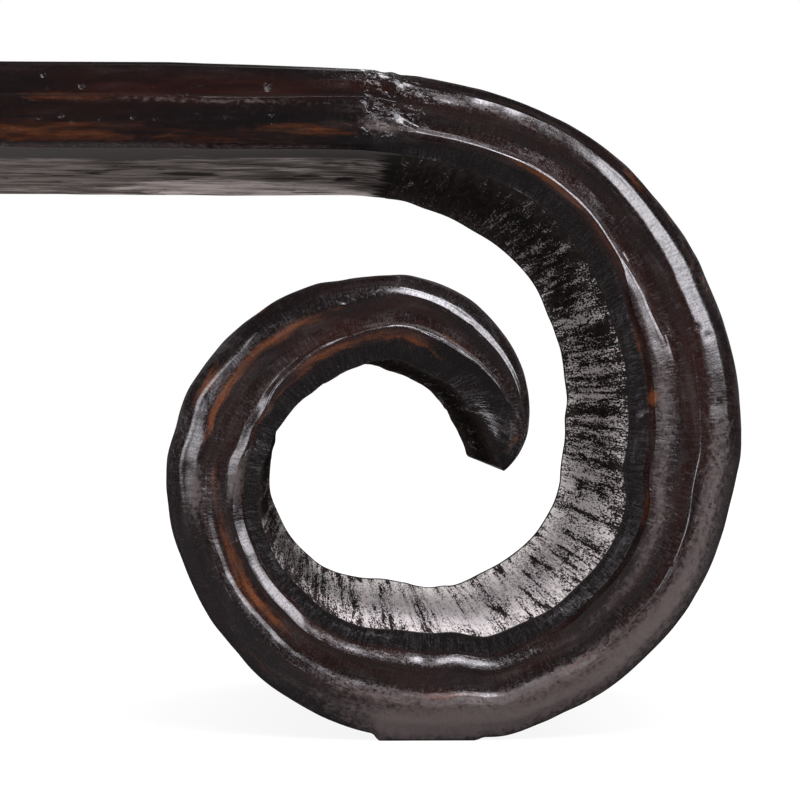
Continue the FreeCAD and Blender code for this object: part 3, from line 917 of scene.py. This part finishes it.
def plank_finish(lacquer, wood):
    """Lacquered plank whose underside is weathered bare wood, with dark hollows along the grain, behind
    a margin stained dark at the front. It is palest near the scrolls, and black where it meets them."""
    finish = Finish(bpy.data.materials.new("old_lacquer_and_weathered_wood"))
    noise, step, blend = finish.noise, finish.step, finish.blend
    board = finish.attribute("board", "Vector")
    end = finish.attribute("end")
    age = 0.3 + 0.7 * step(end, 0.06, 0.115)
    beside = finish.maths("ABSOLUTE", finish.attribute("stroke") - 0.41)
    hairline = (1 - step(beside, 0, 0.011)) * step(end, 0, 0.04) * 0.00010
    relief = glue_lumps(finish, board, end) + slab_dents(finish, board) + hairline
    lacquered = old_lacquer(finish, board, lacquer, -0.03, age, 0.03, relief)
    grain = noise(board, (24, 50, 50), 4, 0.65)
    line = noise(board, (34, 85, 85), 3, 0.65)
    band = noise(board, (13, 11, 11), 3, 0.55)
    depth = finish.part(board, 1)
    grey = blend(step(grain, 0.38, 0.62), wood.weathered_brown, wood.weathered)
    near_end = step(end + (band - 0.5) * 0.12, -0.045, 0.030)
    fibre = (grain - 0.5) * 2.2 + (line - 0.5) * 1.4 + (band - 0.5) * 3.2
    # The depth term makes the underside paler towards the rear. This is partly weathering and partly
    # painted light, making up for the light that falls off under the top.
    pale = step(fibre + near_end * 0.6 + depth * 4.0, 0.50, 1.40)
    tick = step(grain * 0.5 + line * 0.5, 0.40, 0.58)
    lighter = blend(0.35 + 0.65 * tick, wood.weathered, wood.weathered_pale)
    hollow = finish.attribute("rubbed") + (grain - 0.5) * 2.0 + (line - 0.5) * 1.6
    dark = step(hollow, 0.50, 0.72) * 0.9
    bare = blend(dark, blend(pale, grey, lighter), wood.hollow)
    bare = blend(step(line, 0.585, 0.62) * 0.8, bare, wood.hollow)
    reached = depth + (grain - 0.5) * 0.16 + (band - 0.5) * 0.10
    bare = blend(step(reached, -0.078, -0.118), bare, wood.margin)
    torn_end = end + (line - 0.5) * 0.030 + (grain - 0.5) * 0.03
    bare = blend(step(torn_end, 0.110, 0.116), bare, wood.stain)
    finish.over_wood(lacquered, bare, grain * 0.0008 - dark * 0.0006)
    return finish.owner


def wood_finish(name, light, dark, factors):
    """Plain planed wood: fine grain lines between two tones."""
    finish = Finish(bpy.data.materials.new(name))
    grain = finish.noise(finish.node("TexCoord", {}, "Object"), factors, 4, 0.6)
    colour = finish.blend(finish.step(grain, 0.35, 0.65), dark, light)
    finish.surface(finish.principled(colour, 0.55 + 0.2 * grain, grain * 0.00012, {}))
    return finish.owner


def tone(name, description, default):
    return bpy.props.FloatVectorProperty(
        name=name, description=description, default=default, subtype="COLOR", size=3, min=0, max=1
    )


def spot(name, description, default):
    return bpy.props.FloatVectorProperty(
        name=name, description=description, default=default, subtype="TRANSLATION"
    )


def metres(name, description, default):
    return bpy.props.FloatProperty(
        name=name, description=description, default=default, unit="LENGTH", precision=4
    )


def amount(name, description, default, **limits):
    limits = {"min": 0, **limits}
    return bpy.props.FloatProperty(name=name, description=description, default=default, **limits)


def number(name, description, default, least):
    return bpy.props.IntProperty(name=name, description=description, default=default, min=least)


class TableShape(bpy.types.PropertyGroup):
    """Overall sizes of the table."""

    length: metres("Length", "From one scroll's outside to the other's", cad_high[0] - cad_low[0])
    depth: metres("Depth", "From the front face to the rear face", cad_high[1] - cad_low[1])
    height: metres("Height", "From the floor to the top", cad_high[2] - cad_low[2])
    slab_thickness: metres("Top thickness", "Thickness of the planks", 0.043)
    plank_joint: metres("Plank joint", "Where the joint between the planks lies across", 0.043)
    moulding_depth: metres("Moulding depth", "How deep the mouldings are carved", 0.008)


class CarvingSettings(bpy.types.PropertyGroup):
    """How the hand's work shows, and how finely it is meshed."""

    row_spacing: metres("Row spacing", "Distance between sections along a scroll", 0.0013)
    plank_spacing: metres("Plank row spacing", "Distance between sections along a plank", 0.006)
    face_columns: number("Face columns", "Points down one moulded face", 61, 11)
    across_columns: number("Columns across", "Points across the inner or the outer face", 60, 9)
    facet_depth: metres("Facet depth", "Depth of the carver's long facets", 0.0011)
    ripple_depth: metres("Ripple depth", "Depth of the short ripples", 0.00035)
    ridge_depth: metres("Saw ridge depth", "Height of the ridges that the saw left", 0.0006)
    joint_groove: metres("Joint groove", "Depth of the line at a joint", 0.00002)
    nose_length: metres("Nose length", "Length over which the tip is rounded", 0.012)


class LacquerSettings(bpy.types.PropertyGroup):
    """Colours of the lacquer."""

    dark: tone("Dark lacquer", "Lacquer where it is thick", (0.0040, 0.0032, 0.0033))
    red: tone("Red lacquer", "Lacquer where it is thin", (0.0175, 0.0045, 0.0029))
    amber: tone("Amber lacquer", "Lacquer rubbed nearly through", (0.118, 0.0300, 0.0035))
    # Grey of scuffed lacquer, also used as painted sheen for the dim reflection of the lamps and the
    # floor.
    dust: tone("Dusty lacquer", "Grey of the scuffed lacquer", (0.082, 0.062, 0.058))
    coat_roughness: amount(
        "Coat roughness", "Roughness of the clear top coat", 0.10, max=1, subtype="FACTOR"
    )


class WoodSettings(bpy.types.PropertyGroup):
    """Colours of the bare wood."""

    stain: tone("Stain", "Black stain left in the sawn inner face", (0.022, 0.019, 0.018))
    stain_brown: tone("Brown stain", "Stain on the harder fibres", (0.045, 0.034, 0.030))
    worn: tone("Worn wood", "Wood worn pale on the ridges", (0.92, 0.86, 0.84))
    worn_shade: tone("Worn wood in the saw lines", "Worn wood where dirt stayed in", (0.46, 0.42, 0.41))
    weathered: tone("Weathered wood", "Grey wood under the top", (0.19, 0.165, 0.15))
    weathered_brown: tone("Weathered brown", "Browner grain under the top", (0.090, 0.074, 0.066))
    weathered_pale: tone("Weathered pale", "Palest wood, near the scrolls", (0.56, 0.49, 0.46))
    margin: tone("Margin stain", "Stain along the edges under the top", (0.066, 0.058, 0.056))
    hollow: tone("Hollows", "Dark hollows and cracks along the grain", (0.022, 0.018, 0.017))
    tenon_light: tone("Tenon wood", "Light tone of the tenons", (0.42, 0.25, 0.12))
    tenon_dark: tone("Tenon grain", "Dark tone of the tenons", (0.24, 0.12, 0.055))
    bamboo_light: tone("Bamboo", "Light tone of the pins", (0.62, 0.48, 0.24))
    bamboo_dark: tone("Bamboo fibres", "Dark tone of the pins", (0.40, 0.27, 0.11))


class StudioSettings(bpy.types.PropertyGroup):
    """Floor, lamps and camera."""

    floor: tone("Floor", "Colour of the floor", (0.62, 0.62, 0.62))
    floor_in_gloss: tone("Floor in gloss", "Floor as polished surfaces see it", (0.08, 0.075, 0.075))
    key_power: amount("Key power", "Power of the overhead softbox", 70, unit="POWER")
    right_power: amount("Right power", "Power of the softbox at the right", 46, unit="POWER")
    left_power: amount("Left power", "Power of the softbox at the left", 26, unit="POWER")
    rear_power: amount("Rear power", "Power of the softbox behind the table", 50, unit="POWER")
    camera_place: spot("Camera", "Place of the camera", (0.43305, -1.6595, 0.174))
    camera_target: spot("Camera target", "Point the camera looks at", (0.47855, -0.1675, 0.1705))
    lens: amount("Lens", "Focal length in millimetres", 134.3, min=1, unit="CAMERA")


class ALTAR_OT_planks(bpy.types.Operator):
    """Build the two planks of the top"""

    bl_idname = "altar.planks"
    bl_label = "Planks"

    def execute(self, context):
        scene = context.scene
        shape, carving = scene.altar_shape, scene.altar_carving
        scroll = Scroll(shape)
        material = plank_finish(scene.altar_lacquer, scene.altar_wood)
        plank("top_plank_front", None, shape.plank_joint, scroll, carving, material)
        plank("top_plank_rear", shape.plank_joint, None, scroll, carving, material)
        return {"FINISHED"}


class ALTAR_OT_scrolls(bpy.types.Operator):
    """Build the shoulder, base and curl blocks of both scrolls"""

    bl_idname = "altar.scrolls"
    bl_label = "Scroll blocks"

    def execute(self, context):
        scene = context.scene
        scroll = Scroll(scene.altar_shape)
        material = scroll_finish(scene.altar_lacquer, scene.altar_wood)
        for end in (1, -1):
            for part, *angles in BLOCKS:
                scroll_block(part, end, angles, scroll, scene.altar_carving, material)
        return {"FINISHED"}


class ALTAR_OT_joinery(bpy.types.Operator):
    """Finish the battens, pins, tenons and wedges of the joinery model"""

    bl_idname = "altar.joinery"
    bl_label = "Joinery"

    def execute(self, context):
        wood = context.scene.altar_wood
        tenon = wood_finish("tenon_wood", wood.tenon_light, wood.tenon_dark, (30, 220, 220))
        bamboo = wood_finish("split_bamboo", wood.bamboo_light, wood.bamboo_dark, (500, 500, 12))
        batten = wood_finish("batten_wood", wood.weathered, wood.weathered_brown, (300, 9, 300))
        for name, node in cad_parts.items():
            if node.hide_render:
                continue
            if name.startswith("batten_pins"):
                material = bamboo
            elif name.startswith("batten"):
                material = batten
            else:
                material = tenon
            for slot in node.material_slots:
                slot.material = material
        return {"FINISHED"}


def aimed(name, data, place, target):
    """Object of the scene that looks from one point to another."""
    item = bpy.data.objects.new(name, data)
    item.location = place
    item.rotation_euler = (Vector(target) - Vector(place)).to_track_quat("-Z", "Y").to_euler()
    bpy.context.scene.collection.objects.link(item)
    return item


def softbox(name, place, target, size, power):
    """Lamp behind a diffuser: brightest in the middle, falling by smooth steps to its four edges."""
    lamp = bpy.data.lights.new(name, "AREA")
    lamp.shape = "RECTANGLE"
    lamp.size, lamp.size_y = size
    lamp.energy = power
    finish = Finish(lamp)
    across = finish.node("NewGeometry", {}, "Parametric")
    glow = 1.0
    for axis in (0, 1):
        off_centre = finish.maths("ABSOLUTE", finish.part(across, axis) - 0.5)
        glow = glow * (1 - finish.step(off_centre, 0.12, 0.5))
    tint = finish.blend(glow, (0, 0, 0), (1.0, 0.97, 1.04))
    finish.surface(finish.node("Emission", {"Color": tint, "Strength": 1.0}), "OutputLight")
    aimed(name, lamp, place, target)


def floor_finish(studio):
    """Pale paper that the camera sees as white, with the table's shadow left in it. Away from the table
    the paper fades into the white air. Polished surfaces see it dimmer."""
    finish = Finish(bpy.data.materials.new("studio_paper"))
    camera = finish.ray("Camera")
    place = finish.node("TexCoord", {}, "Object")
    away = finish.node("VectorMath", {0: place}, "Value", operation="LENGTH")
    speck = finish.noise(place, (60, 60, 60), 2, 0.5)
    pale = finish.blend(speck * 0.1, studio.floor, (0.9, 0.9, 0.9))
    in_front = finish.step(finish.part(place, 1), -0.50, -0.24)
    sheet = finish.blend(in_front, (0.025, 0.025, 0.025), studio.floor_in_gloss)
    pale = finish.blend(finish.ray("Glossy"), pale, sheet)
    paper = finish.node("BsdfPrincipled", {"Base Color": pale, "Roughness": 1.0})
    white = finish.node("Emission", {"Color": (1, 1, 1), "Strength": 1.0})
    veil = 0.80 + 0.20 * finish.step(away, 0.75, 1.6)
    mixed = finish.node("MixShader", {0: camera * veil, 1: paper, 2: white})
    lift = finish.blend(camera, (0, 0, 0), (0.09, 0.09, 0.09))
    lifted = finish.node("Emission", {"Color": lift, "Strength": 1.0})
    finish.surface(finish.node("AddShader", {0: mixed, 1: lifted}))
    return finish.owner


def light_world(scene):
    """Studio air: white to the camera and through glass, a white backdrop behind the table and a dark
    room in front of it to polished surfaces, and a dim even light."""
    scene.world = bpy.data.worlds.new("studio_air")
    finish = Finish(scene.world)
    towards_rear = finish.part(finish.node("TexCoord", {}, "Generated"), 1)
    behind = finish.step(towards_rear, 0.60, 0.95)
    even = 0.75 + 0.55 * finish.step(towards_rear, -0.2, 0.4)
    strength = finish.ray("Camera") + finish.ray("Transmission")
    strength = strength + finish.ray("Glossy") * (0.02 + 0.98 * behind) + finish.ray("Diffuse") * even
    background = finish.node("Background", {"Color": (1, 1, 1), "Strength": strength})
    finish.surface(background, "OutputWorld")


class ALTAR_OT_studio(bpy.types.Operator):
    """Lay the floor, hang the softboxes and place the camera"""

    bl_idname = "altar.studio"
    bl_label = "Studio"

    def execute(self, context):
        scene, studio = context.scene, context.scene.altar_studio
        mesh = bpy.data.meshes.new("studio_floor")
        reach = FLOOR_REACH
        corners = [(-reach, -reach, 0), (reach, -reach, 0), (reach, reach, 0), (-reach, reach, 0)]
        mesh.from_pydata(corners, [], [(0, 1, 2, 3)])
        floor = bpy.data.objects.new("studio_floor", mesh)
        scene.collection.objects.link(floor)
        mesh.materials.append(floor_finish(studio))
        light_world(scene)
        for name, place, target, size, power in (
            ("key_softbox", (0.70, -1.45, 1.45), (0.5, -0.17, 0.2), (1.9, 0.95), studio.key_power),
            ("right_softbox", (1.62, -1.42, 0.92), (0.60, -0.17, 0.25), (1.3, 1.6), studio.right_power),
            ("left_softbox", (-0.95, -1.60, 0.70), (0.35, -0.17, 0.15), (1.2, 1.4), studio.left_power),
            ("rear_softbox", (0.35, 1.55, 0.95), (0.35, 0.1, 0.15), (1.9, 0.9), studio.rear_power),
        ):
            softbox(name, place, target, size, power)
        camera = bpy.data.cameras.new("product_camera")
        camera.lens = studio.lens
        camera.sensor_width = SENSOR_WIDTH
        scene.camera = aimed("product_camera", camera, studio.camera_place, studio.camera_target)
        scene.view_settings.view_transform = "Standard"
        return {"FINISHED"}


class ALTAR_PT_panel(bpy.types.Panel):
    """Operators and settings of the altar table"""

    bl_idname = "ALTAR_PT_panel"
    bl_label = "Altar Table"
    bl_space_type = "VIEW_3D"
    bl_region_type = "UI"
    bl_category = "Altar Table"

    def draw(self, context):
        for operator in OPERATORS:
            self.layout.operator(operator.bl_idname)
        for key in GROUPS:
            group = getattr(context.scene, key)
            box = self.layout.box()
            box.label(text=type(group).__name__)
            for name in type(group).__annotations__:
                box.prop(group, name)


GROUPS = {
    "altar_shape": TableShape,
    "altar_carving": CarvingSettings,
    "altar_lacquer": LacquerSettings,
    "altar_wood": WoodSettings,
    "altar_studio": StudioSettings,
}
OPERATORS = (ALTAR_OT_planks, ALTAR_OT_scrolls, ALTAR_OT_joinery, ALTAR_OT_studio)


def register():
    for group in GROUPS.values():
        bpy.utils.register_class(group)
    for key, group in GROUPS.items():
        setattr(bpy.types.Scene, key, bpy.props.PointerProperty(type=group))
    for part in (*OPERATORS, ALTAR_PT_panel):
        bpy.utils.register_class(part)


def unregister():
    for part in (ALTAR_PT_panel, *OPERATORS[::-1]):
        bpy.utils.unregister_class(part)
    for key in GROUPS:
        delattr(bpy.types.Scene, key)
    for group in GROUPS.values():
        bpy.utils.unregister_class(group)


def main():
    register()
    bpy.ops.altar.planks()
    bpy.ops.altar.scrolls()
    bpy.ops.altar.joinery()
    bpy.ops.altar.studio()


if __name__ == "__main__":
    main()
